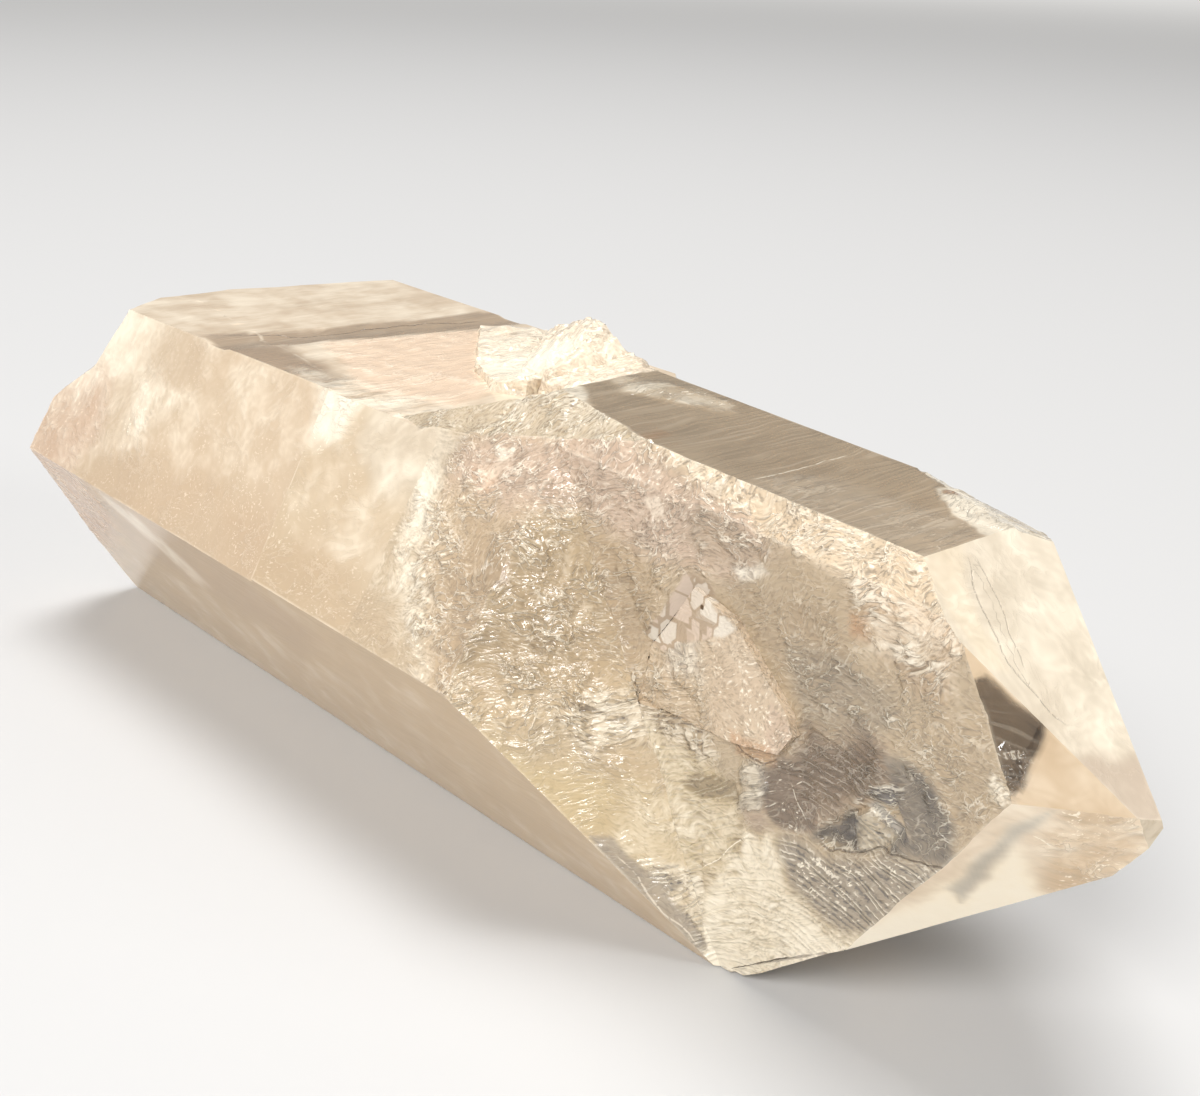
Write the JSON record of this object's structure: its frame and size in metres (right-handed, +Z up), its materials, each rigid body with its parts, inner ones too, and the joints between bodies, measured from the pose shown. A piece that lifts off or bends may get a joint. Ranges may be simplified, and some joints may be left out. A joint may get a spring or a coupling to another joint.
{
  "type": "smoky quartz point",
  "caption": "Natural smoky quartz crystal point lying on a prism face, with a pyramid-shaped tip, an etched notch along its front edge and a rough broken base.",
  "frame": {"origin": "bottom centre of the bounding box, on the level of the flat underside", "axes": "+X along the crystal towards its point, +Y to the back, away from the notched front edge, +Z up"},
  "size_m": [0.267, 0.0932, 0.0831],
  "materials": {
    "smoky_quartz": "natural crystal: glassy smooth prism and point faces, matt etched notch and ledge, rough broken base; cloudy cream to smoky grey-brown inside"
  },
  "bodies": {
    "root": {"quartz_point": "smoky_quartz"}
  },
  "joints": []
}
